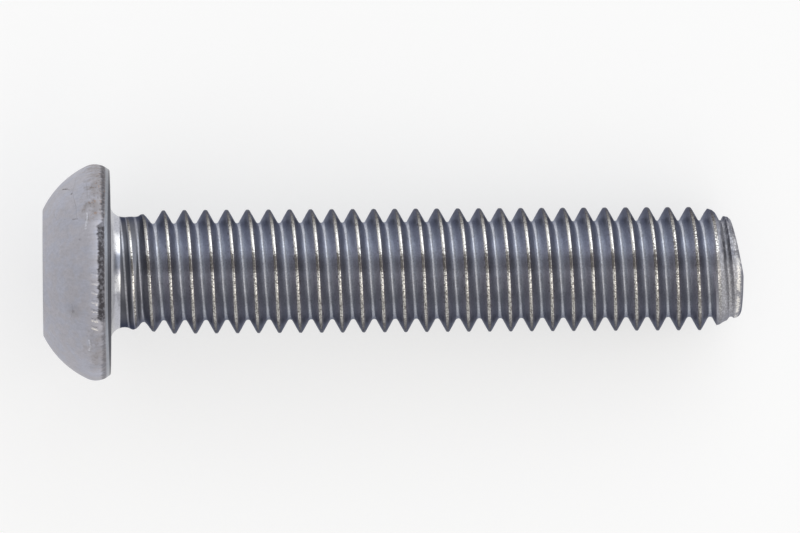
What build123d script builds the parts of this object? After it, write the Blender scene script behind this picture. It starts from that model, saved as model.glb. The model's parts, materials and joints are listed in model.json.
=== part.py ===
from build123d import *
import math
import os

# Button head socket screw, M6 by 30 mm, with a hexagon socket for a 4 mm key.
# It is forged and rolled from one piece of wire, so it is one solid. All sizes are in
# millimetres. The screw is drawn on its own axis: the bearing face under the head lies
# at Z = 0, the head hangs below it and the tip points up. Last, it is laid down the way
# it rests on a table, on the rim of its head and on the far end of its thread.

# Head, as the profile shows it
head_height = 3.19
head_diameter = 10.3
crown_flat_diameter = 5.96
crown_edge_round = 0.2
widest_level = 0.7
rim_round = 1.0
rim_turn = 26.0
bearing_edge_round = 0.15

# Hexagon socket, with a bevelled mouth and the shallow cone left by the punch
socket_across_flats = 4.0
socket_depth = 2.1
socket_corner_round = 0.1
mouth_diameter = 4.9
mouth_slope = 30.0
socket_floor_slope = 15.0

# Neck under the head, and the thread, drawn as the cylinder that its crests lie on
neck_diameter = 5.24
neck_fillet = 0.65
neck_length = 1.0
thread_diameter = 5.88
thread_start = 2.0

# Rolled tip: the crests fall away in a round, then a short band runs to the end, which is
# slanted on one side, from just past the middle
length = 30.0
point_length = 1.6
point_diameter = 4.7
end_band_length = 0.4
end_edge_round = 0.3
end_slant = 10.0
slant_offset = 0.33

head_radius = head_diameter / 2
crown_flat_radius = crown_flat_diameter / 2
mouth_radius = mouth_diameter / 2
socket_radius = socket_across_flats / 2
neck_radius = neck_diameter / 2
thread_radius = thread_diameter / 2
point_radius = point_diameter / 2
point_end = length - end_band_length
thread_end = point_end - point_length

# The rim is an arc around the head's widest ring, and the dome runs into it smoothly
rim_centre_radius = head_radius - rim_round
rim_start_radius = rim_centre_radius + rim_round * math.cos(math.radians(rim_turn))
rim_start_level = -widest_level - rim_round * math.sin(math.radians(rim_turn))
bearing_radius = rim_centre_radius + math.sqrt(rim_round**2 - widest_level**2)

crown_centre = (0, -head_height)
crown_edge = (crown_flat_radius, -head_height)
rim_start = (rim_start_radius, rim_start_level)
widest_ring = (head_radius, -widest_level)
bearing_edge = (bearing_radius, 0)
neck_corner = (neck_radius, 0)
dome_direction = (-math.sin(math.radians(rim_turn)), -math.cos(math.radians(rim_turn)))

with BuildPart() as screw:
    # Head, neck and shank, turned from one profile
    with BuildSketch(Plane.XZ) as profile:
        with BuildLine():
            Line(crown_centre, crown_edge)
            TangentArc(rim_start, crown_edge, tangent=dome_direction)
            ThreePointArc(rim_start, widest_ring, bearing_edge)
            Polyline(
                bearing_edge,
                neck_corner,
                (neck_radius, neck_length),
                (thread_radius, thread_start),
                (thread_radius, thread_end),
            )
            TangentArc((thread_radius, thread_end), (point_radius, point_end), tangent=(0, 1))
            Polyline((point_radius, point_end), (point_radius, length), (0, length), crown_centre)
        make_face()
        corners = profile.vertices()
        fillet(corners.sort_by_distance(neck_corner)[0], neck_fillet)
        fillet(corners.sort_by_distance(bearing_edge)[0], bearing_edge_round)
        fillet(corners.sort_by_distance(crown_edge)[0], crown_edge_round)
        fillet(corners.sort_by_distance((point_radius, length))[0], end_edge_round)
    revolve(axis=Axis.Z)

    # Hexagon socket, punched into the crown
    with BuildSketch(Plane.XY.offset(-head_height)) as socket:
        RegularPolygon(socket_radius, side_count=6, major_radius=False)
        fillet(socket.vertices(), socket_corner_round)
    extrude(amount=socket_depth, mode=Mode.SUBTRACT)

    # Cone at the socket's floor
    socket_floor = socket_depth - head_height
    floor_cone_depth = socket_radius * math.tan(math.radians(socket_floor_slope))
    with BuildSketch(Plane.XZ):
        with BuildLine():
            Polyline(
                (0, socket_floor),
                (socket_radius, socket_floor),
                (0, socket_floor + floor_cone_depth),
                close=True,
            )
        make_face()
    revolve(axis=Axis.Z, mode=Mode.SUBTRACT)

    # Bevel around the socket's mouth
    mouth_cone_depth = mouth_radius * math.tan(math.radians(mouth_slope))
    with BuildSketch(Plane.XZ):
        with BuildLine():
            Polyline(
                (0, -head_height),
                (mouth_radius, -head_height),
                (0, mouth_cone_depth - head_height),
                close=True,
            )
        make_face()
    revolve(axis=Axis.Z, mode=Mode.SUBTRACT)

    # Slanted side of the rolled end
    slant = math.radians(end_slant)
    slant_plane = Plane(
        origin=(0, -slant_offset, length),
        x_dir=(1, 0, 0),
        z_dir=(0, math.sin(slant), math.cos(slant)),
    )
    split(bisect_by=slant_plane, keep=Keep.BOTTOM)

# Lying on a table, the axis dips towards the tip by the angle of the line that touches
# both the rim's arc and the arc at the end of the thread
point_drop = thread_radius - point_radius
point_round = (point_length**2 + point_drop**2) / (2 * point_drop)
centres_apart = thread_end + widest_level
centres_fall = rim_centre_radius - (thread_radius - point_round)
rounds_gain = math.asin((point_round - rim_round) / math.hypot(centres_apart, centres_fall))
dip = math.degrees(math.atan2(centres_fall, centres_apart) - rounds_gain)

laid_down = (0, 90 + dip, 0)
laid_box = (Rotation(*laid_down) * screw.part).bounding_box()

with BuildPart() as resting_screw:
    with Locations((-laid_box.center().X, -laid_box.center().Y, -laid_box.min.Z)):
        add(screw.part, rotation=laid_down)

resting_screw.part.label = "screw"

os.makedirs("parts", exist_ok=True)
export_step(resting_screw.part, "parts/screw.step")

print("dip of the axis, degrees", round(dip, 3))
print("shift to the table", round(-laid_box.center().X, 3), round(-laid_box.min.Z, 3))
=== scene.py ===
# %% [markdown]
# # A button head screw on a pale table
#
# The screw is one piece of steel wire. A press upsets one end into a round head and
# punches the hexagon for the key, and two dies roll the thread on the other end. Here it
# is made in the same order: the head grows ring by ring from a disc, the socket is cut
# out of it, the thread is one tooth carried round as a screw, and the parts are bridged
# into one closed mesh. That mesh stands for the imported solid, which has the plain
# cylinder of the crests in place of the thread.

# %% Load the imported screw
import json
from math import asin, atan2, ceil, cos, degrees, hypot, pi, radians, sin, sqrt, tan

import bpy
from mathutils import Matrix, Vector


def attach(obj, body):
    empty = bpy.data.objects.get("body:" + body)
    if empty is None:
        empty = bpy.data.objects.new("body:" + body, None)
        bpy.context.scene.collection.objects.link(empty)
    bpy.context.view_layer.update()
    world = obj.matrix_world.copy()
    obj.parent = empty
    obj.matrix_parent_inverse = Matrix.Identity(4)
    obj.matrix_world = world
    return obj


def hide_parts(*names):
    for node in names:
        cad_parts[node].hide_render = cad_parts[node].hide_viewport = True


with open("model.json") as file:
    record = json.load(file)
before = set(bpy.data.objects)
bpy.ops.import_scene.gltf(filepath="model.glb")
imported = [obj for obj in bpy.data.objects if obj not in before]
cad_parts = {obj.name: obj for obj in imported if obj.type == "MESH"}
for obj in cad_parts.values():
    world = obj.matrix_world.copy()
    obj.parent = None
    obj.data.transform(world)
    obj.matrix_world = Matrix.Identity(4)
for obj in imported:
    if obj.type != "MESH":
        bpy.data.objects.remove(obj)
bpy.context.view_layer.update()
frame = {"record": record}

MM = 0.001

# %% [markdown]
# ## The sizes of the screw
#
# The screw is modelled standing on its head, on its own axis: height 0 is the bearing
# face under the head, the head lies below it and the tip points up. All these sizes are
# in millimetres and degrees, as on a drawing of an M6 by 30 screw. Working upright keeps
# every ring level, so the lying pose is one turn and one move at the end.

# %% Sizes on the drawing
HEAD_HEIGHT = 3.19
HEAD_RADIUS = 5.138
CROWN_RADIUS = 2.98
CROWN_ROUND = 0.2
WIDEST_LEVEL = -0.7
RIM_ROUND = 1.0
RIM_TURN = 26.0
CHAMFER_LEVEL = -0.27
BEARING_RADIUS = 4.86
BEARING_ROUND = 0.1

SOCKET_ACROSS_FLATS = 4.0
SOCKET_DEPTH = 2.1
SOCKET_CORNER = 0.1
SOCKET_FLOOR_SLOPE = 15.0
MOUTH_RADIUS = 2.45
MOUTH_SLOPE = 30.0

NECK_RADIUS = 2.62
NECK_FILLET = 0.65
CREST_RADIUS = 2.94
ROOT_RADIUS = 2.296
PITCH = 1.0
FIRST_CREST = 2.541
LENGTH = 30.0

# A full turn is made in this many columns of faces, and points closer than WELD are one
COLUMNS = 96
WELD = 0.001
print("head", 2 * HEAD_RADIUS, "by", HEAD_HEIGHT, "mm, shank", LENGTH, "mm long")

# %% [markdown]
# ## Small tools for the bench
#
# An edit-mode tool acts on all that is selected, so each step starts by clearing the
# selection and picks its own edges or faces by their place. These helpers do that, and
# they keep the rest of the script as short as the work by hand would be.

# %% Helpers for selecting
def enter_edit():
    bpy.ops.object.mode_set(mode="EDIT")


def leave_edit():
    if bpy.context.object and bpy.context.object.mode != "OBJECT":
        bpy.ops.object.mode_set(mode="OBJECT")


def clear_selection():
    leave_edit()
    bpy.ops.object.select_all(action="DESELECT")


def work_on(piece):
    clear_selection()
    piece.select_set(True)
    bpy.context.view_layer.objects.active = piece


def everything(part):
    return True


def select_where(piece, wanted, kind="VERT"):
    """Leaves the piece in edit mode with the vertices or faces that are wanted selected."""
    work_on(piece)
    enter_edit()
    bpy.ops.mesh.select_mode(type=kind)
    bpy.ops.mesh.select_all(action="DESELECT")
    leave_edit()
    parts = piece.data.vertices if kind == "VERT" else piece.data.polygons
    for part in parts:
        part.select = wanted(part)
    enter_edit()


# %% Helper for modifiers
def apply_modifier(piece, kind, **settings):
    work_on(piece)
    bpy.ops.object.modifier_add(type=kind)
    modifier = piece.modifiers[-1]
    for name, value in settings.items():
        setattr(modifier, name, value)
    bpy.ops.object.modifier_apply(modifier=modifier.name)


# %% [markdown]
# ## The head
#
# A button head is a low dome with a flat crown and a soft rim. The side view gives its
# profile: the crown's edge, one arc for the dome, a tighter arc for the rim, a narrow
# chamfer towards the table side, the flat bearing face and the fillet into the neck. It
# could be a lathe profile, but growing it from a disc, one extruded and scaled ring
# after another, shows how the metal runs and leaves one clean ring to join the thread to.

# %% Dome and rim
def arc(centre, radius, start, end, steps):
    """Points of an arc as (radius, level), with angles in degrees."""
    points = []
    for step in range(steps + 1):
        angle = radians(start + (end - start) * step / steps)
        points.append((centre[0] + radius * cos(angle), centre[1] + radius * sin(angle)))
    return points


rim_centre = (HEAD_RADIUS - RIM_ROUND, WIDEST_LEVEL)
rim_top = arc(rim_centre, RIM_ROUND, -RIM_TURN, 0, 6)
rim_start = rim_top[0]
crown_edge = (CROWN_RADIUS, -HEAD_HEIGHT)

# The dome is the arc through the crown's edge that leaves it square to the rim's turn
dome_way = Vector((sin(radians(RIM_TURN)), cos(radians(RIM_TURN))))
chord = Vector(rim_start) - Vector(crown_edge)
half_turn = atan2(chord.x, chord.y) - atan2(dome_way.x, dome_way.y)
dome_radius = chord.length / (2 * sin(half_turn))
dome_centre = Vector(rim_start) - Vector((dome_way.y, -dome_way.x)) * dome_radius
dome_end = -RIM_TURN
dome_start = dome_end - degrees(2 * half_turn)

# Each corner is rounded by a short arc, so the dome starts a few degrees on, past it
PAST_ROUND = 4
crown_turn = dome_start + 90
crown_bend = CROWN_ROUND * tan(radians(crown_turn / 2))
crown_round = arc(
    (CROWN_RADIUS - crown_bend, CROWN_ROUND - HEAD_HEIGHT), CROWN_ROUND, -90, dome_start, 4
)
dome = arc(tuple(dome_centre), dome_radius, dome_start + PAST_ROUND, dome_end, 14)
print("dome radius", round(dome_radius, 2), "mm")

# %% Chamfer, bearing face and fillet
# The last ring stands on the neck, and the shank is bridged to it later
NECK_RING = 0.72
chamfer_turn = degrees(asin((CHAMFER_LEVEL - WIDEST_LEVEL) / RIM_ROUND))
rim_low = arc(rim_centre, RIM_ROUND, 0, chamfer_turn, 5)[1:]
chamfer_lean = degrees(atan2(rim_low[-1][0] - BEARING_RADIUS, -CHAMFER_LEVEL))
bearing_bend = BEARING_ROUND * tan(radians((90 - chamfer_lean) / 2))
bearing_round = arc(
    (BEARING_RADIUS - bearing_bend, -BEARING_ROUND), BEARING_ROUND, chamfer_lean, 90, 4
)
fillet = arc((NECK_RADIUS + NECK_FILLET, NECK_FILLET), NECK_FILLET, 270, 180, 10)
head_profile = crown_round + dome + rim_top[1:] + rim_low + bearing_round + fillet
neck_top = (NECK_RADIUS, NECK_RING)
print("rings in the head", len(head_profile))

# %% Grow the head from its crown
def grow_rings(points, last):
    """Extrudes the selected ring through each (radius, level); last is where it starts."""
    for radius, level in points:
        bpy.ops.mesh.extrude_region_move(
            TRANSFORM_OT_translate={"value": (0, 0, (level - last[1]) * MM)}
        )
        scale = radius / last[0]
        bpy.ops.transform.resize(value=(scale, scale, 1), center_override=(0, 0, level * MM))
        last = (radius, level)


clear_selection()
bpy.ops.mesh.primitive_circle_add(
    vertices=COLUMNS,
    radius=head_profile[0][0] * MM,
    fill_type="NGON",
    location=(0, 0, -HEAD_HEIGHT * MM),
)
head = bpy.context.object
bpy.ops.object.transform_apply(location=True)
enter_edit()
bpy.ops.mesh.select_all(action="SELECT")
grow_rings(head_profile[1:] + [neck_top], head_profile[0])
bpy.ops.mesh.delete(type="ONLY_FACE")
bpy.ops.mesh.select_all(action="SELECT")
bpy.ops.mesh.normals_make_consistent(inside=False)
leave_edit()
print("head", len(head.data.vertices), "vertices,", len(head.data.polygons), "faces")

# %% [markdown]
# ## The hexagon socket
#
# The socket is punched while the head is formed, so its walls are drawn smooth, its six
# corners are slightly round, its floor is the blunt cone of the punch and its mouth has
# a wide bevel that guides the key in. Six flat walls in a round crown are quickest made
# as a tool of that shape: a six-sided prism with rounded corners and a pointed end, and
# a cone for the mouth. A Boolean modifier takes both out of the head.

# %% Make the punch
# It stands out of the crown, so that the cut is clean there
STANDS_OUT = 1.0
flat_radius = SOCKET_ACROSS_FLATS / 2
corner_radius = flat_radius / cos(radians(30))
tool_height = SOCKET_DEPTH + STANDS_OUT
clear_selection()
bpy.ops.mesh.primitive_cylinder_add(
    vertices=6,
    radius=corner_radius * MM,
    depth=tool_height * MM,
    location=(0, 0, (SOCKET_DEPTH - HEAD_HEIGHT - tool_height / 2) * MM),
)
punch = bpy.context.object
bpy.ops.object.transform_apply(location=True)

# It is turned so that two of its flats face along Y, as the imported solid's do, and the
# six upright edges between the flats are rounded
select_where(punch, everything)
bpy.ops.transform.rotate(value=radians(30), orient_axis="Z", center_override=(0, 0, 0))
bpy.ops.mesh.select_mode(type="EDGE")
bpy.ops.mesh.select_all(action="DESELECT")
leave_edit()
for edge in punch.data.edges:
    low, high = (punch.data.vertices[index].co.z for index in edge.vertices)
    edge.select = abs(low - high) > MM
enter_edit()
bpy.ops.mesh.bevel(offset=SOCKET_CORNER * MM, segments=3, affect="EDGES")
leave_edit()
print("punch", round(2 * corner_radius, 2), "mm across its corners before they are rounded")

# %% Give the punch its blunt point
# Its end is inset until a face of this radius is left, which is raised to meet the cone
POINT_LEFT = 0.1
floor_rise = (flat_radius - POINT_LEFT) * tan(radians(SOCKET_FLOOR_SLOPE))
select_where(punch, lambda face: face.normal.z > 0.9, "FACE")
bpy.ops.mesh.inset(thickness=(flat_radius - POINT_LEFT) * MM, depth=0)
bpy.ops.transform.translate(value=(0, 0, floor_rise * MM))
leave_edit()
print("punch", len(punch.data.polygons), "faces, its point", round(floor_rise, 2), "mm high")

# %% Cut the mouth and the socket
# The mouth's cone starts a little outside the crown, so its base is larger by this
OVERSIZE = 1.2
mouth_depth = MOUTH_RADIUS * tan(radians(MOUTH_SLOPE))
clear_selection()
bpy.ops.mesh.primitive_cone_add(
    vertices=COLUMNS,
    radius1=MOUTH_RADIUS * OVERSIZE * MM,
    radius2=0,
    depth=mouth_depth * OVERSIZE * MM,
    location=(0, 0, (mouth_depth * (1 - OVERSIZE / 2) - HEAD_HEIGHT) * MM),
)
mouth = bpy.context.object
bpy.ops.object.transform_apply(location=True)

for tool in (mouth, punch):
    apply_modifier(head, "BOOLEAN", operation="DIFFERENCE", object=tool, solver="EXACT")
    bpy.data.objects.remove(tool)
print("head with its socket", len(head.data.polygons), "faces")

# %% [markdown]
# ## One tooth, carried round as a screw
#
# A rolled metric thread has flanks at 60 degrees to each other, a narrow flat crest and
# a round root. Seen from the side its outline is the tooth itself, repeated once for
# each millimetre. So the tooth is drawn once, as a chain of points pulled out of one
# vertex, and the Screw modifier carries it round the axis by one pitch a turn. Every
# row of faces then follows the helix, and the crest stays one clean line.

# %% Draw the tooth
ROOT_ROUND = 0.135
SPARE_TURNS = 3

# From the crest's middle outwards: how far along the screw, and how far below the crest
CREST_SIDE = [
    (0.0, 0.0), (0.03, 0.0), (0.055, 0.009), (0.08, 0.037), (0.2, 0.245), (0.305, 0.434),
]
half_tooth = [(away, CREST_RADIUS - drop) for away, drop in CREST_SIDE]
for turn in (60, 40, 20, 0):
    away = PITCH / 2 - ROOT_ROUND * sin(radians(turn))
    half_tooth.append((away, ROOT_RADIUS + ROOT_ROUND * (1 - cos(radians(turn)))))
tooth = [(-away, radius) for away, radius in reversed(half_tooth)] + half_tooth[1:]
crest_at_start = FIRST_CREST - PITCH / 4 - SPARE_TURNS * PITCH

clear_selection()
bpy.ops.mesh.primitive_plane_add(size=MM)
shank = bpy.context.object
enter_edit()
bpy.ops.mesh.select_mode(type="VERT")
bpy.ops.mesh.select_all(action="SELECT")
bpy.ops.mesh.merge(type="CENTER")
away, radius = tooth[0]
bpy.ops.transform.translate(value=(radius * MM, 0, (crest_at_start + away) * MM))
for (away, radius), (next_away, next_radius) in zip(tooth, tooth[1:]):
    step = ((next_radius - radius) * MM, 0, (next_away - away) * MM)
    bpy.ops.mesh.extrude_vertices_move(TRANSFORM_OT_translate={"value": step})
leave_edit()
print("tooth", len(shank.data.vertices), "points")

# %% Carry it round
turns = ceil(LENGTH) + SPARE_TURNS
apply_modifier(
    shank,
    "SCREW",
    axis="Z",
    angle=radians(360),
    screw_offset=PITCH * MM,
    iterations=turns,
    steps=COLUMNS,
    render_steps=COLUMNS,
    use_merge_vertices=False,
)
select_where(shank, everything)
bpy.ops.mesh.remove_doubles(threshold=WELD * MM)
leave_edit()
print("thread", len(shank.data.polygons), "faces in", turns, "turns")

# %% [markdown]
# ## Run-out and point
#
# A rolled thread does not start or stop at once. Under the head its grooves grow out of
# the plain neck over one and a half turns: two lines say how high the crest and how low
# the root lie at each place along the screw, and each vertex is moved to its own share of
# the way between them. At the far end the wire was bevelled before the thread was rolled,
# so the last crests were never filled and their tops follow that bevel: there the tooth
# is capped by a third line. The far end is also slanted on one side, where the wire was
# sheared, so the last millimetre is pushed back there.

# %% Lines that the crest, the root and the point follow
CREST_LINE = [
    (0.8, 2.62), (0.9, 2.68), (1.05, 2.73), (1.3, 2.74), (1.65, 2.76), (1.98, 2.82),
    (2.3, 2.89), (2.55, 2.93), (2.9, CREST_RADIUS),
]
ROOT_LINE = [
    (0.8, 2.62), (1.05, 2.64), (1.2, 2.61), (1.35, 2.49), (1.5, 2.39), (1.75, 2.33),
    (2.04, ROOT_RADIUS),
]
CAP_LINE = [
    (28.0, 3.1), (28.15, 2.96), (28.3, 2.91), (28.54, 2.83), (28.85, 2.73), (29.0, 2.66),
    (29.15, 2.55), (29.3, 2.48), (29.5, 2.46), (29.75, 2.35),
]


def along_line(line, level):
    """Radius on a line of (level, radius) points, straight between them."""
    if level <= line[0][0]:
        return line[0][1]
    for (low, start), (high, end) in zip(line, line[1:]):
        if level <= high:
            return start + (end - start) * (level - low) / (high - low)
    return line[-1][1]


print("full tooth", round(CREST_RADIUS - ROOT_RADIUS, 3), "mm high")

# %% Let the thread run out
CAP_ROUND = 0.03
FULL_TOOTH = 0.2


def lower_of(first, second, round_off):
    """The lower of two radii, rounded where they cross."""
    share = max(0.0, min(1.0, 0.5 + (second - first) / (2 * round_off)))
    return second + (first - second) * share - round_off * share * (1 - share)


# Each vertex keeps its height on the tooth, 1 on a full crest, for the finish to use
height_on_tooth = shank.data.attributes.new("tooth", "FLOAT", "POINT")
for vertex, height in zip(shank.data.vertices, height_on_tooth.data):
    x, y, level = vertex.co / MM
    radius = hypot(x, y)
    share = (radius - ROOT_RADIUS) / (CREST_RADIUS - ROOT_RADIUS)
    crest = along_line(CREST_LINE, level)
    root = along_line(ROOT_LINE, level)
    height.value = share * min(1, (crest - root) / FULL_TOOTH)
    grown = root + (crest - root) * share
    new_radius = lower_of(grown, along_line(CAP_LINE, level), CAP_ROUND)
    vertex.co = Vector((x, y, 0)) * new_radius / radius * MM + Vector((0, 0, vertex.co.z))
widest = max(vertex.co.xy.length for vertex in shank.data.vertices) / MM
print("thread", round(2 * widest, 2), "mm across its crests")

# %% Cut the shank to length
START_CUT = 0.8
END_CUT = 29.68
ON_CUT = 0.0001 * MM


def at_level(*levels):
    """Picks the vertices that lie on one of these levels."""
    return lambda vertex: min(abs(vertex.co.z - level * MM) for level in levels) < ON_CUT


for cut, removed in ((START_CUT, "clear_inner"), (END_CUT, "clear_outer")):
    select_where(shank, everything)
    bpy.ops.mesh.bisect(
        plane_co=(0, 0, cut * MM),
        plane_no=(0, 0, 1),
        threshold=ON_CUT / 10,
        **{removed: True},
    )
    leave_edit()
print("shank", round(END_CUT - START_CUT, 2), "mm long between its cuts")

# %% Roll its end over and slant it
# The end's rings, each as a share of the cut's width and of the height that is left
END_RADIUS = 2.3
HOLLOW = [(0.72, 0.985), (0.55, 0.93), (0.3, 0.88), (0.1, 0.87)]
SLANT = 10.0
SLANT_OFFSET = 0.33
SLANT_START = 29.05
SLANT_POWER = 1.9

end_round = LENGTH - END_CUT
end_rings = [
    (1 - end_round / END_RADIUS * (1 - cos(turn)), sin(turn))
    for turn in map(radians, (15, 30, 45, 60, 75, 90))
]
select_where(shank, at_level(END_CUT))
last_scale, last_rise = 1, 0
for scale, rise in end_rings + HOLLOW:
    bpy.ops.mesh.extrude_edges_move(
        TRANSFORM_OT_translate={"value": (0, 0, (rise - last_rise) * end_round * MM)}
    )
    change = scale / last_scale
    bpy.ops.transform.resize(value=(change, change, 1), center_override=(0, 0, LENGTH * MM))
    last_scale, last_rise = scale, rise
bpy.ops.mesh.merge(type="CENTER")
leave_edit()


def slant_back(side, level):
    """How far the slanted end pushes back a point, side being its distance along Y."""
    if level <= SLANT_START or side <= -SLANT_OFFSET:
        return 0.0
    share = ((level - SLANT_START) / (LENGTH - SLANT_START)) ** SLANT_POWER
    return share * (side + SLANT_OFFSET) * tan(radians(SLANT))


for vertex in shank.data.vertices:
    vertex.co.z -= slant_back(vertex.co.y / MM, vertex.co.z / MM) * MM
print("shank", len(shank.data.polygons), "faces")

# %% [markdown]
# ## One closed screw
#
# Head and shank are one piece of steel, so their two open rings are bridged, and the
# normals are made to point outwards after that. The edge where the rim meets its chamfer
# is crisp on the real head, so it is marked sharp before the rest is shaded smooth.

# %% Bridge head and shank
work_on(head)
shank.select_set(True)
bpy.ops.object.join()
screw = bpy.context.object
screw.name = "button_head_screw"
screw.data.name = "button_head_screw"
select_where(screw, at_level(NECK_RING, START_CUT))
bpy.ops.mesh.bridge_edge_loops()
bpy.ops.mesh.select_all(action="SELECT")
bpy.ops.mesh.remove_doubles(threshold=WELD / 2 * MM)
bpy.ops.mesh.normals_make_consistent(inside=False)
bpy.ops.mesh.select_mode(type="VERT")
bpy.ops.mesh.select_all(action="DESELECT")
bpy.ops.mesh.select_non_manifold()
leave_edit()
print("open or doubled edges left", sum(edge.select for edge in screw.data.edges))

# %% Mark the chamfer's edge and shade the rest smooth
select_where(screw, at_level(CHAMFER_LEVEL))
bpy.ops.mesh.mark_sharp()
leave_edit()
bpy.ops.object.shade_smooth_by_angle(angle=radians(35))
print("triangles", sum(len(face.vertices) - 2 for face in screw.data.polygons))

# %% [markdown]
# ## Four finishes on one piece
#
# The faces get their finish while the screw still stands upright, because then a face's
# height tells what it is, and in the head its distance from the axis: the forged head,
# the punched socket, the fillet that the press leaves under the head, or the neck, thread
# and point that the dies have rolled.

# %% Sort the faces into finishes
FINISHES = ("forged_head", "punched_socket", "pressed_fillet", "rolled_thread")
FILLET_END = 0.45

# Faces that only touch a level or a radius are told from it by a hair's breadth
HAIR = 0.001

for name in FINISHES:
    screw.data.materials.append(bpy.data.materials.new(name))


def finish_of(face):
    """The finish of a face, from how high its middle lies and how far out."""
    level = face.center.z / MM
    if level > FILLET_END:
        return "rolled_thread"
    if level > HAIR:
        return "pressed_fillet"
    below_crown = level > 2 * HAIR - HEAD_HEIGHT
    in_mouth = face.center.xy.length / MM < MOUTH_RADIUS + 10 * HAIR
    return "punched_socket" if below_crown and in_mouth else "forged_head"


for face in screw.data.polygons:
    face.material_index = FINISHES.index(finish_of(face))
for index, name in enumerate(FINISHES):
    print(name, sum(face.material_index == index for face in screw.data.polygons), "faces")

# %% [markdown]
# ## Laying the screw down
#
# On a table the screw rests on the rim of its head and on the far end of its thread, so
# its axis dips a little towards the tip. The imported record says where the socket's mouth
# is and which way it faces, and the standing screw is turned and moved to that place.

# %% Lay it on the table
mounts = {mount["name"]: mount for mount in frame["record"]["mounts"]}
key_socket = mounts["key_socket"]
along = -Vector(key_socket["axis"])
seat = Vector(key_socket["pos_m"]) + along * HEAD_HEIGHT * MM
lean = atan2(along.x, along.z)
screw.rotation_euler = (0, lean, 0)
screw.location = seat
work_on(screw)
bpy.ops.object.transform_apply(location=True, rotation=True, scale=True)
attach(screw, "root")
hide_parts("screw")
print("dip of the axis", round(degrees(lean) - 90, 3), "degrees")

# %% [markdown]
# ## Tools for the finishes
#
# A finish is a network of shader nodes, and short helpers keep it readable. One adds a
# node to a tree and fills its inputs with numbers or links. A second adds it to the tree
# that its inputs come from, as every socket knows its own tree, and the sums, masks and
# mixes are made with that one. The last three start a node group with named sockets,
# place it, and count the nodes. A group is worth making for what several finishes share,
# because it is drawn once and then used like any other node.

# %% Helpers for node networks
def is_socket(value):
    return isinstance(value, bpy.types.NodeSocket)


def fill(socket, value):
    if is_socket(value):
        socket.id_data.links.new(value, socket)
    else:
        socket.default_value = (*value, 1) if socket.type == "RGBA" else value


def put(tree, kind, inputs=(), **settings):
    """Adds a node; inputs are in order, or named in a dictionary."""
    node = tree.nodes.new(kind)
    for name, value in settings.items():
        setattr(node, name, value)
    pairs = inputs.items() if isinstance(inputs, dict) else enumerate(inputs)
    for key, value in pairs:
        fill(node.inputs[key], value)
    return node.outputs


def follow(kind, inputs, **settings):
    """Adds a node to the tree that its inputs come from."""
    values = inputs.values() if isinstance(inputs, dict) else inputs
    tree = next(value.id_data for value in values if is_socket(value))
    return put(tree, kind, inputs, **settings)


# %% Sums and products
def math_of(operation, *values):
    return follow("ShaderNodeMath", values, operation=operation)[0]


def vector_of(operation, *values, gives=0):
    return follow("ShaderNodeVectorMath", values, operation=operation)[gives]


def sum_of(start, *terms):
    """A starting value with each term's value added, times its share."""
    total = start
    for value, share in terms:
        total = math_of("MULTIPLY_ADD", value, share, total)
    return total


def all_of(*masks):
    """Masks and shares multiplied together."""
    product = masks[0]
    for mask in masks[1:]:
        product = math_of("MULTIPLY", product, mask)
    return product


# %% Masks and mixes
def step_up(value, low, high):
    """0 below low and 1 above high, with a soft rise between them."""
    inputs = {"Value": value, "From Min": low, "From Max": high}
    return follow("ShaderNodeMapRange", inputs, interpolation_type="SMOOTHSTEP")["Result"]


def step_down(value, low, high):
    """1 below low and 0 above high, with a soft fall between them."""
    return math_of("SUBTRACT", 1.0, step_up(value, low, high))


def mix_colours(share, first, second):
    return follow("ShaderNodeMix", {0: share, 6: first, 7: second}, data_type="RGBA")[2]


def mix_values(share, first, second):
    return follow("ShaderNodeMix", {0: share, 2: first, 3: second})[0]


def shade(colour, value):
    """A colour made lighter or darker by a value near 1."""
    return follow("ShaderNodeVectorMath", {0: colour, "Scale": value}, operation="SCALE")[0]


# %% Helpers for node groups
def start_group(name, takes, gives):
    """A group with its inputs and outputs, whose names are listed by their kind."""
    group = bpy.data.node_groups.new(name, "ShaderNodeTree")
    for sockets, in_out in ((takes, "INPUT"), (gives, "OUTPUT")):
        for kind, labels in sockets.items():
            for label in labels:
                kind_of_socket = "NodeSocket" + kind
                group.interface.new_socket(label, in_out=in_out, socket_type=kind_of_socket)
    taken = group.nodes.new("NodeGroupInput").outputs
    given = group.nodes.new("NodeGroupOutput").inputs
    return group, taken, given


def use(group, **inputs):
    return follow("ShaderNodeGroup", inputs, node_tree=group)


def tell(name, tree):
    print(name, len(tree.nodes), "nodes")


# %% [markdown]
# ## A ruler fixed to the screw
#
# Marks on a screw sit at a place along it and at a turn around it, so every finish needs
# those two numbers. The first group takes the object's own coordinates, lays them back on
# the standing screw, in millimetres, and gives the level along the axis, the distance out
# from it and the turn in degrees. The turn is 0 at the top of the lying screw and grows
# towards +Y, which is high in the picture, so the other side is called low. The marks
# then stay on the steel from every side. The other groups are a soft band between two
# values, specks, a round spot and a straight scratch between two points.

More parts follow.
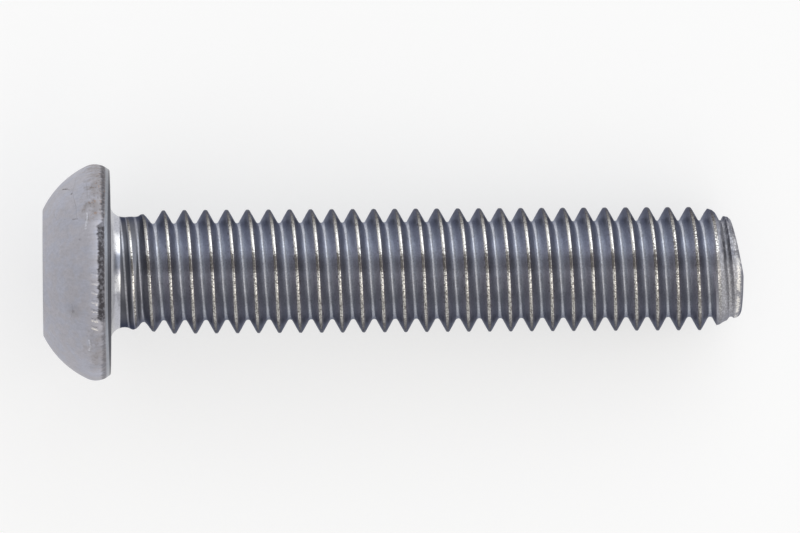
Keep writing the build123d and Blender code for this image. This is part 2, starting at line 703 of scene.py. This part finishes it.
# %% Group: along the screw
upright = Matrix.Rotation(-lean, 3, "Y")
ruler, _, ruler_out = start_group(
    "along the screw", {}, {"Vector": ["Own"], "Float": ["Level", "Out", "Turn"]}
)
to_upright = {
    "Vector": put(ruler, "ShaderNodeTexCoord")["Object"],
    "Location": -(upright @ seat) / MM,
    "Rotation": (0, -lean, 0),
    "Scale": (1 / MM, 1 / MM, 1 / MM),
}
own = follow("ShaderNodeMapping", to_upright)[0]
axes = follow("ShaderNodeSeparateXYZ", [own])
top_way = math_of("MULTIPLY", axes["X"], -1.0)
angle = math_of("ARCTAN2", axes["Y"], top_way)
across = vector_of("MULTIPLY", own, (1.0, 1.0, 0.0))
fill(ruler_out["Own"], own)
fill(ruler_out["Level"], axes["Z"])
fill(ruler_out["Out"], vector_of("LENGTH", across, gives="Value"))
fill(ruler_out["Turn"], math_of("DEGREES", angle))
tell("ruler", ruler)

# %% Groups: band and specks
band, band_in, band_out = start_group(
    "band", {"Float": ["Value", "From", "To", "Edge"]}, {"Float": ["Mask"]}
)
low_edge = math_of("SUBTRACT", band_in["Value"], band_in["From"])
high_edge = math_of("SUBTRACT", band_in["To"], band_in["Value"])
inside = math_of("MINIMUM", low_edge, high_edge)
in_edges = math_of("DIVIDE", inside, band_in["Edge"])
fill(band_out["Mask"], step_up(in_edges, -0.5, 0.5))

specks, specks_in, specks_out = start_group(
    "specks", {"Vector": ["Own"], "Float": ["Size", "Above"]}, {"Float": ["Mask", "Grain"]}
)
finer = math_of("DIVIDE", 1.0, specks_in["Size"])
cloud = {"Vector": specks_in["Own"], "Scale": finer, "Detail": 2.0, "Roughness": 0.6}
grain = follow("ShaderNodeTexNoise", cloud)[0]
over = math_of("SUBTRACT", grain, specks_in["Above"])
fill(specks_out["Mask"], step_up(over, -0.03, 0.03))
fill(specks_out["Grain"], grain)
tell("band", band)
tell("specks", specks)

# %% Groups: spot and scratch
spot, spot_in, spot_out = start_group(
    "spot", {"Vector": ["Own", "Centre", "Stretch"], "Float": ["Reach"]}, {"Float": ["Mask"]}
)
away = vector_of("SUBTRACT", spot_in["Own"], spot_in["Centre"])
pulled = vector_of("MULTIPLY", away, spot_in["Stretch"])
distance = vector_of("LENGTH", pulled, gives="Value")
share = math_of("DIVIDE", distance, spot_in["Reach"])
fill(spot_out["Mask"], step_down(share, 0.3, 1.0))

scratch, scratch_in, scratch_out = start_group(
    "scratch", {"Vector": ["Own", "Start", "End"], "Float": ["Width"]}, {"Float": ["Mask"]}
)
way_in = vector_of("SUBTRACT", scratch_in["Own"], scratch_in["Start"])
run = vector_of("SUBTRACT", scratch_in["End"], scratch_in["Start"])
done = vector_of("DOT_PRODUCT", way_in, run, gives="Value")
whole = vector_of("DOT_PRODUCT", run, run, gives="Value")
share = math_of("MAXIMUM", math_of("DIVIDE", done, whole), 0.0)
share = math_of("MINIMUM", share, 1.0)
nearest = shade(run, share)
off_line = vector_of("DISTANCE", way_in, nearest, gives="Value")
thin = math_of("DIVIDE", off_line, scratch_in["Width"])
fill(scratch_out["Mask"], step_down(thin, 0.3, 1.0))
print("groups", [group.name for group in bpy.data.node_groups])


# %% Helpers that open a finish and use the groups in it
def open_finish(name):
    """The tree and the shader of a finish, as bare metal, and what the ruler gives in it."""
    material = bpy.data.materials[name]
    material.use_nodes = True
    tree = material.node_tree
    shader = tree.nodes["Principled BSDF"]
    fill(shader.inputs["Metallic"], 1.0)
    return tree, shader, *put(tree, "ShaderNodeGroup", node_tree=ruler)


def band_of(value, low, high, edge):
    """1 from low to high and 0 outside, with soft edges that wide."""
    return use(band, Value=value, From=low, To=high, Edge=edge)["Mask"]


def grain_of(own, size):
    return use(specks, Own=own, Size=size)["Grain"]


def specks_of(own, size, above):
    return use(specks, Own=own, Size=size, Above=above)["Mask"]


def stretched(own, scale):
    return follow("ShaderNodeMapping", {"Vector": own, "Scale": scale})[0]


def cover(shader, colour, rough):
    fill(shader.inputs["Base Color"], colour)
    fill(shader.inputs["Roughness"], rough)


def add_bump(shader, relief, depth):
    inputs = {"Strength": 1.0, "Distance": depth * MM, "Height": relief}
    fill(shader.inputs["Normal"], follow("ShaderNodeBump", inputs)[0])


# %% [markdown]
# ## The forged head
#
# The head keeps the skin of the press: an even satin grey with a very fine grain, faint
# streaks along the way the metal ran, and patches that lean a little to blue or to brown.
# A flat grey would look like plastic, so the grain also drives a very shallow bump. The
# marks below are laid over this skin one after another, as wear comes over a finish.

# %% Skin of the head
BLUE_STEEL = (0.592, 0.597, 0.668)
GREY_STEEL = (0.60, 0.59, 0.638)
EDGE_ON_SHADE = 0.12

tree, shader, own, level, out, turn = open_finish("forged_head")

tone = grain_of(own, 1.7)
patches = grain_of(own, 0.7)
fine = grain_of(own, 0.09)
streaks = grain_of(stretched(own, (1, 1, 0.12)), 0.16)
uneven = sum_of(0.66, (tone, 0.16), (fine, 0.28), (streaks, 0.24))

# The skin is painted a little darker where it is seen edge-on: painted shade along its
# outline
edge_on = put(tree, "ShaderNodeLayerWeight", {"Blend": 0.5})["Facing"]
uneven = all_of(uneven, mix_values(edge_on, 1.0, 1 - EDGE_ON_SHADE))
blueness = step_up(patches, 0.40, 0.60)
skin = mix_colours(blueness, GREY_STEEL, BLUE_STEEL)
colour = shade(skin, uneven)
tell("skin of the head", tree)

# %% [markdown]
# ## Knocks and scratches on the dome
#
# A few knocks and hairlines come from lying loose with other screws. Each is set at its
# own place, as a level along the screw and a distance to the side of its top line. A
# scratch is a straight line between two such points, and longer ones go in steps. A short
# wrinkled dimple lies on the dome's low side: a soft spot with lines that run out of it.

# %% Places on the head
def on_head(level, side):
    """The point of the head's top side at a level, side millimetres off towards +Y."""
    for (radius, low), (next_radius, high) in zip(head_profile, head_profile[1:]):
        if low <= level <= high and high > low:
            radius += (next_radius - radius) * (level - low) / (high - low)
            return (-sqrt(radius**2 - side**2), side, level)


def spots_mask(own, marks):
    """The strongest of several spots, each as deep as its last number says."""
    strongest = 0.0
    for level, side, reach, stretch, depth in marks:
        place = on_head(level, side)
        mask = use(spot, Own=own, Centre=place, Stretch=stretch, Reach=reach)["Mask"]
        strongest = math_of("MAXIMUM", strongest, all_of(mask, depth))
    return strongest


def scratches_mask(own, lines):
    """The strongest of several scratches: their points, their width and their depth."""
    strongest = 0.0
    for points, width, depth in lines:
        for start, end in zip(points, points[1:]):
            ends = {"Start": on_head(*start), "End": on_head(*end)}
            mask = use(scratch, Own=own, Width=width, **ends)["Mask"]
            strongest = math_of("MAXIMUM", strongest, all_of(mask, depth))
    return strongest


# %% Knocks, hairlines and a dimple
KNOCK = (0.15, 0.13, 0.13)
PALE_SCORE = (0.86, 0.88, 0.95)

# Level, side, reach, stretch and depth of each spot
DARK_SPOTS = [
    (-1.82, 3.72, 0.10, (1, 1, 1), 0.7),
    (-1.13, 2.49, 0.12, (1, 1.3, 1), 0.5),
    (-1.46, 1.55, 0.12, (1, 1.6, 1), 0.35),
    (-1.79, -1.83, 0.16, (1, 1, 1), 0.45),
    (-1.72, -1.80, 0.55, (1, 1, 1), 0.16),
]

# Points, width and depth of each scratch
DARK_LINES = [
    ([(-2.25, 3.93), (-2.01, 3.94)], 0.055, 0.8),
    ([(-2.01, 3.94), (-1.93, 3.90)], 0.04, 0.4),
    ([(-1.58, 4.50), (-1.67, 4.17), (-1.78, 3.83), (-1.72, 3.45)], 0.03, 0.20),
    ([(-1.72, 3.45), (-1.63, 3.12), (-1.59, 2.52)], 0.03, 0.24),
    ([(-1.15, 4.30), (-1.09, 3.90), (-1.10, 3.50)], 0.035, 0.22),
    ([(-1.79, 2.50), (-1.56, 2.52)], 0.05, 0.42),
    ([(-2.18, 2.50), (-0.85, 2.53)], 0.026, 0.18),
    ([(-2.66, 2.88), (-2.62, 2.62), (-2.56, 2.55)], 0.03, 0.20),
    ([(-3.05, 2.22), (-0.60, 2.23)], 0.022, 0.14),
    ([(-1.05, 2.70), (-1.08, 2.47)], 0.05, 0.35),
    ([(-0.98, -3.20), (-0.98, -3.62)], 0.04, 0.3),
]
PALE_LINES = [
    ([(-1.13, 2.78), (-1.10, 2.62), (-1.15, 2.38), (-1.19, 2.08)], 0.075, 0.6),
    ([(-1.05, -3.20), (-0.98, -3.48), (-1.06, -3.68)], 0.065, 0.5),
]

# The wrinkles run out of the dimple to these points
DIMPLE = (-1.79, -1.83)
WRINKLES = [
    ((-1.86, -1.50), 0.04, 0.25),
    ((-1.72, -1.52), 0.035, 0.20),
    ((-1.52, -1.66), 0.035, 0.18),
    ((-1.55, -2.10), 0.04, 0.22),
    ((-1.92, -2.15), 0.035, 0.20),
    ((-2.10, -1.92), 0.035, 0.16),
]
DARK_LINES += [([DIMPLE, end], width, depth) for end, width, depth in WRINKLES]
print("spots", len(DARK_SPOTS), "and scratches", len(DARK_LINES) + len(PALE_LINES))

# %% Lay the knocks and scratches over the skin
# The fine grain breaks each of them up a little
broken = mix_values(step_up(fine, 0.40, 0.55), 0.35, 1.0)
spots = spots_mask(own, DARK_SPOTS)
scratches = scratches_mask(own, DARK_LINES)
knocks = all_of(math_of("MAXIMUM", spots, scratches), broken)
scores = all_of(scratches_mask(own, PALE_LINES), broken)
colour = mix_colours(knocks, colour, KNOCK)
colour = mix_colours(scores, colour, PALE_SCORE)
tell("marked head", tree)

# %% [markdown]
# ## The rim and its chamfer
#
# The rim has a history of its own. Its sides are pitted and soiled, the high one more,
# with a little rust in the pits there. Just below the top a row of short creases stands
# across it, five degrees apart, as from a toothed grip: their ridges are raised in the
# bump and painted pale, a painted highlight, and the grooves between them are painted
# dark, a painted shade. Next to the chamfer runs a dark band, wider along the top: a
# painted dark reflection. The chamfer itself is wiped smooth by the die, in a band that
# is wider near the top too. Past its sharp edge it is painted paler, and lighter on its
# low half than on its high half, as painted light and shade, and the edge below it is
# painted dark again, as painted shade. Pits, creases and the dark band have no clean
# edges, so grain, smudges and streaks shift where they end.

# %% Pits and rust on the rim
PIT_BROWN = (0.30, 0.27, 0.26)
RUST = (0.42, 0.25, 0.14)

smudges = grain_of(own, 0.42)
spread = sum_of(level, (smudges, 1.6))
pit_area = band_of(spread, -0.25, 0.75, 0.6)
high_side = band_of(turn, 29.0, 86.0, 6.0)
low_side = band_of(turn, -62.0, -33.0, 9.0)
sides = math_of("MAXIMUM", high_side, all_of(low_side, 0.6))
blotches = step_up(smudges, 0.40, 0.62)
pits = specks_of(own, 0.14, 0.58)
soiled = sum_of(0.38, (blotches, 0.2), (pits, 0.3))
colour = mix_colours(all_of(soiled, pit_area, sides), colour, PIT_BROWN)
rust = specks_of(own, 0.17, 0.63)
colour = mix_colours(all_of(rust, pit_area, high_side, 0.35), colour, RUST)
tell("pitted rim", tree)

# %% Creases on the rim
CREASE_HIGHLIGHT = (1.0, 0.96, 0.90)
PAINTED_DARK = (0.095, 0.09, 0.10)
CREASE_STEP = 5.0

# They lean a little, and the grain bends them
slanted = sum_of(turn, (level, 3.0), (smudges, 2.5), (fine, 2.5))
place_in_step = math_of("FRACT", sum_of(0.75, (slanted, 1 / CREASE_STEP)))
crease_area = band_of(level, -0.95, -0.64, 0.10)
crease_side = band_of(turn, -33.5, 2.5, 4.0)
growing = mix_values(step_up(turn, -27.0, 4.0), 1.0, 0.35)
ridge = band_of(place_in_step, 0.42, 0.56, 0.16)
groove = band_of(place_in_step, 0.70, 0.84, 0.12)
creased = all_of(crease_area, crease_side, growing, broken)
# Ridges are raised in the bump and painted pale as a painted highlight; grooves are painted
# dark as painted shade
ridges = all_of(creased, ridge)
colour = mix_colours(all_of(ridges, 0.85), colour, CREASE_HIGHLIGHT)
colour = mix_colours(all_of(creased, groove, 0.5), colour, PAINTED_DARK)
tell("creased rim", tree)

# %% Painted dark reflection on the rim
# A dark band beside the chamfer, wider along the top: a painted dark reflection, broken up
# by the grain
top_side = band_of(turn, -26.5, 26.5, 4.0)
edge_line = mix_values(top_side, -0.56, -0.76)
ragged = sum_of(edge_line, (streaks, 0.26))
reflection_edge = mix_values(top_side, 0.16, 0.12)
near_top = step_down(math_of("ABSOLUTE", turn), 15.0, 75.0)
wiped_from = mix_values(near_top, -0.205, -0.30)
dark_reflection = band_of(level, ragged, wiped_from, reflection_edge)
side_strength = mix_values(high_side, 0.55, 0.85)
dark_reflection = all_of(dark_reflection, mix_values(top_side, side_strength, 1.0))
thinner = step_up(grain_of(own, 0.15), 0.42, 0.66)
dark_reflection = all_of(dark_reflection, mix_values(thinner, 1.0, 0.70))
colour = mix_colours(dark_reflection, colour, PAINTED_DARK)
tell("stained rim", tree)

# %% Chamfer and edge, and the finish of it all
CHAMFER_STEEL = (0.25, 0.26, 0.29)
UNDERSIDE_SHADE = (0.10, 0.10, 0.115)

beyond = math_of("SUBTRACT", level, wiped_from)
wiped = step_up(beyond, -0.015, 0.015)
# Past its sharp edge the chamfer is painted paler, and it is painted lighter on its low half
# and darker on its high half: painted light and shade
past_edge = step_up(level, CHAMFER_LEVEL - 0.005, CHAMFER_LEVEL + 0.005)
paler_past_edge = mix_values(past_edge, 1.0, 1.35)
high_half = step_up(turn, -20.0, 10.0)
bright = all_of(uneven, paler_past_edge, mix_values(high_half, 1.12, 0.86))
chamfer_steel = shade(CHAMFER_STEEL, bright)
colour = mix_colours(wiped, colour, chamfer_steel)
# The edge under the chamfer is painted dark: painted shade under the head
under = step_up(beyond, 0.11, 0.145)
outer = step_up(out, 4.70, 4.76)
colour = mix_colours(all_of(under, outer), colour, UNDERSIDE_SHADE)

rough = mix_values(wiped, sum_of(0.62, (fine, 0.12)), 0.34)
rough = mix_values(math_of("MAXIMUM", ridges, scores), rough, 0.35)
cover(shader, colour, rough)

pitted = all_of(pits, pit_area, sides)
relief = sum_of(fine, (knocks, -3.0), (dark_reflection, -1.5), (ridges, 3.0), (pitted, -1.5))
add_bump(shader, relief, 0.004)
tell("forged_head", tree)

# %% [markdown]
# ## The punched socket
#
# The punch has ironed the socket's walls, so they are a little darker and glossier than
# the head, with fine lines in the way that the punch went in. Its bevel and floor are the
# same. The photograph doesn't show it: it is finished as such sockets are.

# %% Walls of the socket
SOCKET_STEEL = (0.34, 0.34, 0.37)
tree, shader, own, *_ = open_finish("punched_socket")
drawn_lines = grain_of(stretched(own, (1, 1, 0.1)), 0.09)
smear = grain_of(own, 0.8)
colour = shade(SOCKET_STEEL, sum_of(0.85, (drawn_lines, 0.30)))
cover(shader, colour, sum_of(0.22, (smear, 0.25)))
add_bump(shader, drawn_lines, 0.003)
tell("punched_socket", tree)

# %% [markdown]
# ## The pressed fillet
#
# Where the neck meets the head, a small round carries the load from one to the other. The
# press forms it with the head and burnishes it, so it shows the lamps as two bright
# patches with a dark one between them. A hollow round mirrors only a little of what
# stands above it, and the lamps alone leave its lower patch grey. So the steel itself is
# paler at the two turns where the photograph shows the patches, and darker between them.
# Its corner against the head stays matt, because the press never reached into it.

# %% Skin of the fillet
FILLET_STEEL = (0.50, 0.505, 0.555)
FILLET_PALE = (0.96, 0.965, 0.99)
FILLET_DARK = (0.20, 0.21, 0.25)
CORNER_GREY = (0.58, 0.58, 0.61)

tree, shader, own, level, _, turn = open_finish("pressed_fillet")
pale_high = band_of(turn, 21.0, 42.0, 9.0)
pale_low = band_of(turn, -20.0, -3.0, 6.0)
between = band_of(turn, 2.0, 18.0, 7.0)
pale = math_of("MAXIMUM", pale_high, pale_low)
steel = mix_colours(pale, FILLET_STEEL, FILLET_PALE)
steel = mix_colours(between, steel, FILLET_DARK)

grain = grain_of(own, 0.075)
dots = specks_of(own, 0.10, 0.60)
uneven = sum_of(0.76, (grain, 0.50))
colour = mix_colours(all_of(dots, 0.35), steel, FILLET_DARK)
corner = step_down(level, 0.06, 0.26)
colour = shade(mix_colours(corner, colour, CORNER_GREY), uneven)
cover(shader, colour, sum_of(0.25, (grain, 0.10)))
fill(shader.inputs["Metallic"], mix_values(corner, 1.0, 0.15))
tell("pressed_fillet", tree)

# %% [markdown]
# ## The rolled neck and thread
#
# The dies burnish what they touch. A groove's flanks face each other, so the light
# bounces between them and comes out slate dark, and the round root mirrors the lamps in
# one soft pale line; the root is also painted paler than the flanks, a painted highlight
# along that line. A pattern in space couldn't follow the tooth where it runs out, but the
# height on the tooth that every vertex carries tells root and flank apart there too. The
# flanks are painted bluer on the high side, a painted tint of the cool lamp there. Where
# the lamps alone leave the steel too bright, it is painted darker, as painted shade: a
# little along the top, between the two lamps, in the roots on the low side, and more far
# down both sides, where the steel seen edge-on mirrors the pale table. Seen edge-on, bare
# steel mirrors the whole pale table, and the shader's tint for that angle keeps it dark.

# %% Skin of the neck and the thread
NECK_STEEL = (0.40, 0.405, 0.44)
ROOT_STEEL_AND_HIGHLIGHT = (0.62, 0.64, 0.70)
FLANK_GREY = (0.395, 0.395, 0.44)
FLANK_COOL_LIGHT = (0.385, 0.40, 0.465)
SIDE_SHADE = (0.22, 0.225, 0.26)
EDGE_TINT = (0.30, 0.32, 0.40)

tree, shader, own, level, out, turn = open_finish("rolled_thread")
fill(shader.inputs["Specular Tint"], EDGE_TINT)
tooth_height = put(tree, "ShaderNodeAttribute", attribute_name="tooth")["Fac"]

tone = grain_of(own, 1.2)
around = stretched(own, (0.25, 0.25, 3.0))
rolled_lines = grain_of(around, 0.22)
grit = grain_of(own, 0.075)
uneven = sum_of(0.34, (tone, 0.14), (rolled_lines, 0.10), (grit, 1.08))
tell("grain of the thread", tree)

# %% Root and flank
in_thread = step_up(level, 1.6, 2.2)
flank = step_up(tooth_height, 0.02, 0.34)
# The flanks are painted bluer on the high side: a painted tint of the cool lamp there
cool_lit_side = step_up(turn, 5.0, 45.0)
# Along the top, in the gap between the two lamps, flanks and crests are painted darker:
# painted shade
gap_shade = band_of(turn, 0.0, 14.0, 9.0)
# The root is painted paler than the flanks, a painted highlight on its real reflection of
# the lamps, and darker on the low side, a painted shade
shaded_root = step_down(turn, -16.0, -3.0)
root_steel = shade(ROOT_STEEL_AND_HIGHLIGHT, mix_values(shaded_root, 0.90, 0.68))
flank_steel = mix_colours(cool_lit_side, FLANK_GREY, FLANK_COOL_LIGHT)
flank_steel = shade(flank_steel, mix_values(gap_shade, 1.0, 0.80))
steel = mix_colours(in_thread, NECK_STEEL, root_steel)
steel = mix_colours(flank, steel, flank_steel)

# The upper flanks far down both sides are painted darker: painted shade where the steel,
# seen edge-on, mirrors the pale table
away_from_top = math_of("ABSOLUTE", turn)
side_shade_mask = step_up(away_from_top, 44.0, 62.0)
upper = step_up(tooth_height, 0.30, 0.70)
steel = mix_colours(all_of(side_shade_mask, upper), steel, SIDE_SHADE)
colour = shade(steel, uneven)
tell("skin of the thread", tree)

# %% [markdown]
# ## Where the dies begin
#
# Between the fillet and the first crest the neck is painted dark, a painted shade like
# that of a groove's flanks, with one thin line left out where the lamps' reflection shows
# as a glint. The first groove behind that crest is painted dark as well, as painted shade.
# A band at one height would cut across the thread. So both follow its winding: the place
# along the screw, plus the turn as a share of one pitch.

# %% Painted shade around the neck
NECK_SHADE = (0.085, 0.088, 0.105)

winding = sum_of(level, (turn, PITCH / 360))
before_crest = step_down(winding, 0.90, 0.96)
glint = band_of(winding, 0.62, 0.70, 0.06)
neck_shade = all_of(before_crest, mix_values(glint, 0.93, 0.0))

# The first groove is painted darkest on the high side, as painted shade, and its lowest line
# is left bright
first_groove = band_of(winding, 1.07, 1.78, 0.06)
lowest = band_of(winding, 1.34, 1.44, 0.08)
groove_dark = mix_values(step_up(turn, -10.0, 14.0), 0.42, 0.80)
first_groove = all_of(first_groove, mix_values(lowest, groove_dark, 0.1))
neck_shade = math_of("MAXIMUM", neck_shade, first_groove)
colour = mix_colours(neck_shade, colour, NECK_SHADE)
tell("dark neck", tree)

# %% [markdown]
# ## The rough crests
#
# The dies never press the crests: the steel has just risen to them, so they stay rough
# and bright, with tiny folds and dirt in them. The folds are smaller than the faces of
# the mesh, so they are a fine grain in the colour and the bump, under a mask that takes
# the top of the tooth. Along the top of the screw, in the gap between the two lamps, more
# dark grain is laid on as painted shade, and less where the cool lamp shines, as painted
# highlight; near the tip the dirt lies all round. The crests are also painted darker along
# the top, on the low side and far down both sides: painted shade.

# %% Folds, dirt and painted shade
FOLD_DIRT = (0.12, 0.105, 0.10)

shaded_top = band_of(turn, 0.0, 16.0, 6.0)
lit_side = band_of(turn, 20.0, 46.0, 8.0)
dirt_and_shade = mix_values(shaded_top, mix_values(lit_side, 0.0, -0.08), 0.12)
dirt_and_shade = mix_values(step_up(level, 25.0, 27.5), dirt_and_shade, 0.06)
folds_and_shade = step_up(math_of("ADD", grit, dirt_and_shade), 0.50, 0.57)
folds_and_shade = all_of(folds_and_shade, mix_values(tone, 0.55, 1.0))
tell("folds", tree)

# %% Bright crests
CREST_STEEL = (0.92, 0.895, 0.85)

# The first crest is too low to count as a full tooth, so the winding places it instead
first_crest = band_of(winding, 0.97, 1.08, 0.06)
short = math_of("LESS_THAN", level, 1.3)
crest = step_up(tooth_height, 0.92, 0.968)
crest = math_of("MAXIMUM", crest, all_of(first_crest, short))

# The crests are painted darker on the low side, far down both sides and along the top:
# painted shade
low_turns = step_down(turn, -26.0, -12.0)
crest_shading = mix_values(step_up(away_from_top, 28.0, 62.0), 1.0, 0.28)
crest_shading = math_of("MINIMUM", crest_shading, mix_values(low_turns, 1.0, 0.66))
crest_shading = math_of("MINIMUM", crest_shading, mix_values(gap_shade, 1.0, 0.42))
crest_steel = shade(CREST_STEEL, crest_shading)
colour = mix_colours(crest, colour, mix_colours(folds_and_shade, crest_steel, FOLD_DIRT))

# Dark specks lie on the shoulder of the tooth, just below its crest
shoulder = band_of(tooth_height, 0.76, 0.91, 0.06)
shoulder_specks = specks_of(own, 0.11, 0.60)
colour = mix_colours(all_of(shoulder, shoulder_specks, 0.8), colour, FOLD_DIRT)
tell("crests", tree)

# %% [markdown]
# ## The matt point
#
# The wire's bevel was never pressed either, so the last millimetre or so is matt, pale on
# the low side and dark with pale blotches on the high side. A rough lip stands just
# before the end on the low side, where the wire was sheared, with a dark edge beyond it,
# and the end face is plain. The lip is too thin and ragged for the mesh, so it is a
# narrow band in the colour, set back unevenly by the grain.

# %% Matt bevel
POINT_PALE = (0.62, 0.62, 0.65)
POINT_DARK = (0.20, 0.205, 0.24)

point = step_up(level, 28.55, 29.05)
pale_side = step_down(turn, -8.0, 24.0)
patchy = grain_of(own, 0.28)
streaky = grain_of(around, 0.32)
blotched = step_up(math_of("ADD", patchy, streaky), 0.88, 1.10)
pale_share = mix_values(pale_side, all_of(blotched, 0.55), 0.84)
pale_share = sum_of(pale_share, (blotched, 0.32))
point_colour = mix_colours(pale_share, POINT_DARK, POINT_PALE)
point_colour = mix_colours(all_of(folds_and_shade, 0.6), point_colour, FOLD_DIRT)
colour = mix_colours(all_of(point, 0.85), colour, point_colour)
tell("point", tree)

# %% Lip and end face, and the finish of it all
END_STEEL = (0.42, 0.42, 0.45)

# Half of the grain is about a quarter of a millimetre, and sets the lip back from the end
ragged = sum_of(level, (grit, 0.5))
lip = band_of(ragged, 29.94, 30.06, 0.05)
lip = all_of(lip, pale_side, step_up(patchy, 0.38, 0.48))
beyond_lip = all_of(step_up(level, 29.82, 29.92), pale_side, 0.75)
colour = mix_colours(beyond_lip, colour, POINT_DARK)
colour = mix_colours(lip, colour, CREST_STEEL)
end_face = step_down(out, 1.98, 2.12)
end_steel = shade(END_STEEL, mix_values(blotched, 0.92, 1.03))
colour = mix_colours(end_face, colour, end_steel)
cover(shader, colour, mix_values(point, mix_values(crest, 0.36, 0.20), 0.50))

gritty = math_of("MAXIMUM", crest, all_of(point, 0.4))
relief = sum_of(all_of(grit, gritty, 4.0), (rolled_lines, 0.2), (grit, 0.15))
add_bump(shader, relief, 0.004)
tell("rolled_thread", tree)

# %% [markdown]
# ## A pale table
#
# The screw lies on a plain pale sheet, large enough to fill every view. It catches the
# soft shadow and sends light back up into the steel. A real sheet in a bright studio
# comes out white, so this one also glows a little, but only towards the camera and in
# reflections: the steel mirrors the same white table that the picture shows.

# %% Table
TABLE_WIDTH = 6
SHEET_GREY = (0.45, 0.45, 0.45)
GLOW = 0.58

clear_selection()
bpy.ops.mesh.primitive_plane_add(size=TABLE_WIDTH)
table = bpy.context.object
table.name = "table"
paper = bpy.data.materials.new("pale_sheet")
paper.use_nodes = True
tree = paper.node_tree
shader = tree.nodes["Principled BSDF"]
cover(shader, SHEET_GREY, 0.8)
fill(shader.inputs["Emission Color"], (1, 1, 1))
ray = put(tree, "ShaderNodeLightPath")
seen = math_of("MAXIMUM", ray["Is Camera Ray"], ray["Is Glossy Ray"])
seen = math_of("MAXIMUM", seen, ray["Is Transmission Ray"])
fill(shader.inputs["Emission Strength"], all_of(seen, GLOW))
table.data.materials.append(paper)
print("table", TABLE_WIDTH, "m wide")

# %% [markdown]
# ## Soft studio light
#
# Polished steel shows what stands around it. The photograph's neck and crests carry two
# highlights: a wide cool one on the side of the slanted end and a narrower warm one on
# the other side, with a darker gap between them where the camera looks in. So there are
# two softboxes, one on each side of the camera, in an even pale room. Both are narrow
# around the screw, which keeps that gap, and long towards its tip, so that they also
# reach the fillet, which faces that way.

# %% Room
ROOM_LIGHT = 0.57

world = bpy.data.worlds.new("studio")
bpy.context.scene.world = world
world.use_nodes = True
background = world.node_tree.nodes["Background"]
fill(background.inputs["Color"], (1, 1, 1))
fill(background.inputs["Strength"], ROOM_LIGHT)
print("room light", ROOM_LIGHT)

# %% Softboxes
# Both swing towards the tip by the same angle and look equally long from the screw
LAMP_DISTANCE = 1.2
SWING = 33
LONG = 76
COOL_WHITE = (0.90, 0.95, 1.0)
WARM_WHITE = (1.0, 0.95, 0.88)


def stand_up(name, data):
    """An object for a lamp's or a camera's data, in the scene."""
    placed = bpy.data.objects.new(name, data)
    bpy.context.scene.collection.objects.link(placed)
    return placed


def softbox(name, lean_side, around, brightness, colour):
    """A lamp that leans towards +Y, around being how wide it looks; both in degrees."""
    light = bpy.data.lights.new(name, "AREA")
    lamp = stand_up(name, light)
    swung = Matrix.Rotation(radians(SWING), 3, "Y") @ Vector((0, 0, 1))
    way = Matrix.Rotation(radians(-lean_side), 3, "X") @ swung
    lamp.location = way * LAMP_DISTANCE
    lamp.rotation_euler = way.to_track_quat("Z", "Y").to_euler()
    light.shape = "RECTANGLE"
    light.size = 2 * LAMP_DISTANCE * tan(radians(LONG / 2))
    light.size_y = 2 * LAMP_DISTANCE * tan(radians(around / 2))
    light.energy = brightness * pi * light.size * light.size_y
    light.color = colour


softbox("cool_softbox", lean_side=58, around=40, brightness=1.25, colour=COOL_WHITE)
softbox("warm_softbox", lean_side=-24, around=26, brightness=1.1, colour=WARM_WHITE)

# %% [markdown]
# ## The camera
#
# The photograph shows the screw side-on, with its head to the left. The lines of the
# thread bulge a little to the right, and more so at the tip: that gives how far the
# camera stood off the square view, and how far away it was. So the camera looks down
# from nearly straight above, through a long lens.

# %% Camera
# Millimetres and degrees; the aim is measured from the bearing face
CAMERA_DISTANCE = 450
VIEW_WIDTH = 38.045
VIEW_TILT = 2.0
ROLL = 0.36
AIM_ALONG = 13.78
AIM_UP = 0.188

camera_data = bpy.data.cameras.new("camera")
camera = stand_up("camera", camera_data)
bpy.context.scene.camera = camera
forward = Matrix.Rotation(radians(VIEW_TILT), 3, "Y") @ Vector((0, 0, -1))
flat_axis = (along - forward * along.dot(forward)).normalized()
roll = Matrix.Rotation(radians(ROLL), 3, forward)
right = roll @ flat_axis
up = roll @ flat_axis.cross(forward)
aim = seat + along * AIM_ALONG * MM + up * AIM_UP * MM
camera.location = aim - forward * CAMERA_DISTANCE * MM
camera.rotation_euler = Matrix((right, up, -forward)).transposed().to_euler()
camera_data.lens = camera_data.sensor_width * CAMERA_DISTANCE / VIEW_WIDTH
print("lens", round(camera_data.lens), "mm")

# %% Plain view transform
bpy.context.scene.view_settings.view_transform = "Standard"
